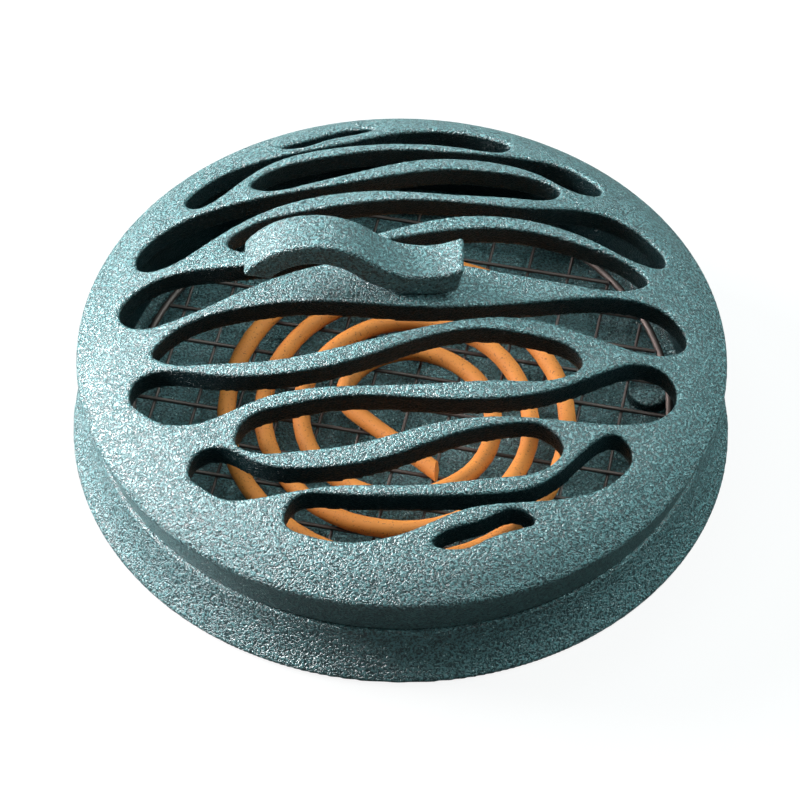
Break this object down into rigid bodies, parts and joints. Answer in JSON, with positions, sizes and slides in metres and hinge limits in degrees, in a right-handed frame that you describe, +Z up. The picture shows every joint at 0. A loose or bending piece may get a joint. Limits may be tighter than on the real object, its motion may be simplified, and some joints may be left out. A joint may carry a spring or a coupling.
{
  "type": "coil incense burner",
  "caption": "Round cast coil incense burner: low flared dish, domed lid with wavy slots and a wave-shaped handle, and a lift-out wire screen that carries a wound coil of incense.",
  "frame": {"origin": "middle of the underside, on the surface that the felt pads stand on", "axes": "+X to the right as pictured, +Y to the back, +Z up through the handle"},
  "size_m": [0.0816, 0.0816, 0.0343],
  "materials": {
    "powder_coat": "coarse wrinkled powder coat, dark teal",
    "felt": "pressed felt, black",
    "zinc_plated_steel": "zinc plated",
    "screen_wire": "drawn wire, dull from heat",
    "incense": "pressed incense powder, matt orange-brown"
  },
  "bodies": {
    "base": {"base_dish": "powder_coat", "foot_pad_1": "felt", "foot_pad_2": "felt", "foot_pad_3": "felt", "foot_pad_4": "felt"},
    "lid": {"lid_grille": "powder_coat", "lid_handle": "powder_coat", "handle_washer": "zinc_plated_steel", "handle_screw": "zinc_plated_steel"},
    "screen": {"screen_rim": "screen_wire", "screen_lower_wires": "screen_wire", "screen_upper_wires": "screen_wire"},
    "coil": {"incense_coil": "incense"}
  },
  "joints": [
    {"name": "lid_lift", "type": "slide", "parent": "base", "child": "lid", "axis": [0, 0, 1], "range_m": [0, 0.06]},
    {"name": "screen_lift", "type": "slide", "parent": "base", "child": "screen", "axis": [0, 0, 1], "range_m": [0, 0.024]},
    {"name": "coil_lift", "type": "slide", "parent": "base", "child": "coil", "axis": [0, 0, 1], "range_m": [0, 0.036]}
  ],
  "couplings": [
    {"joint": "screen_lift", "follows": "lid_lift", "ratio": 0.4},
    {"joint": "coil_lift", "follows": "lid_lift", "ratio": 0.6}
  ]
}
